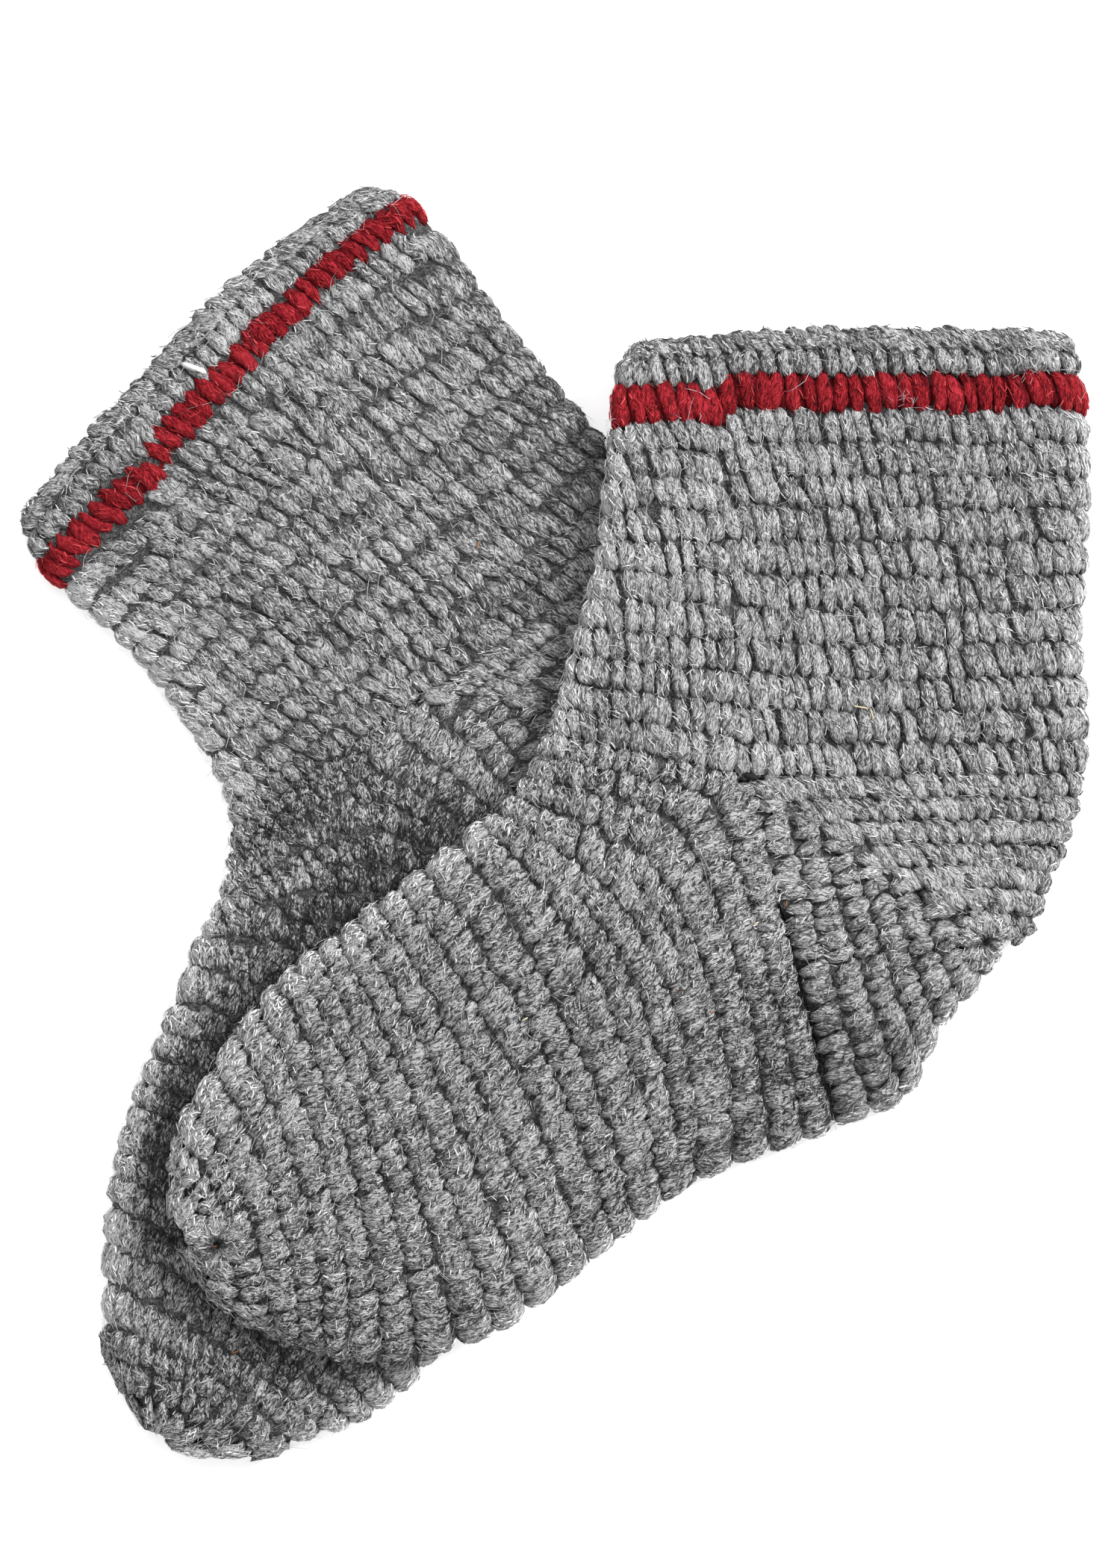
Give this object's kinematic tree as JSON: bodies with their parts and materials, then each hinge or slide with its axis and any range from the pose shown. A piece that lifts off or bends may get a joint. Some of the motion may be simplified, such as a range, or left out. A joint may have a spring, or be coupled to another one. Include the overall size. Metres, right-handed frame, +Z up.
{
  "type": "pair of crocheted wool socks lying flat",
  "caption": "Two short crocheted wool socks with a stripe near the rim, laid flat with one across the other, heels to the same side.",
  "frame": {"origin": "on the surface the socks lie on, under the middle of the pair's box", "axes": "+Z up, +Y towards the cuffs, toes towards -Y, heels towards +X"},
  "size_m": [0.2935, 0.3474, 0.0231],
  "materials": {
    "grey_wool": "heather grey crocheted wool, fuzzy",
    "red_wool": "red crocheted wool, fuzzy"
  },
  "bodies": {
    "root": {"back_cuff_edge": "grey_wool", "back_red_stripe": "red_wool", "back_leg_foot": "grey_wool", "back_heel": "grey_wool", "front_cuff_edge": "grey_wool", "front_red_stripe": "red_wool", "front_leg_foot": "grey_wool", "front_heel": "grey_wool"}
  },
  "joints": []
}
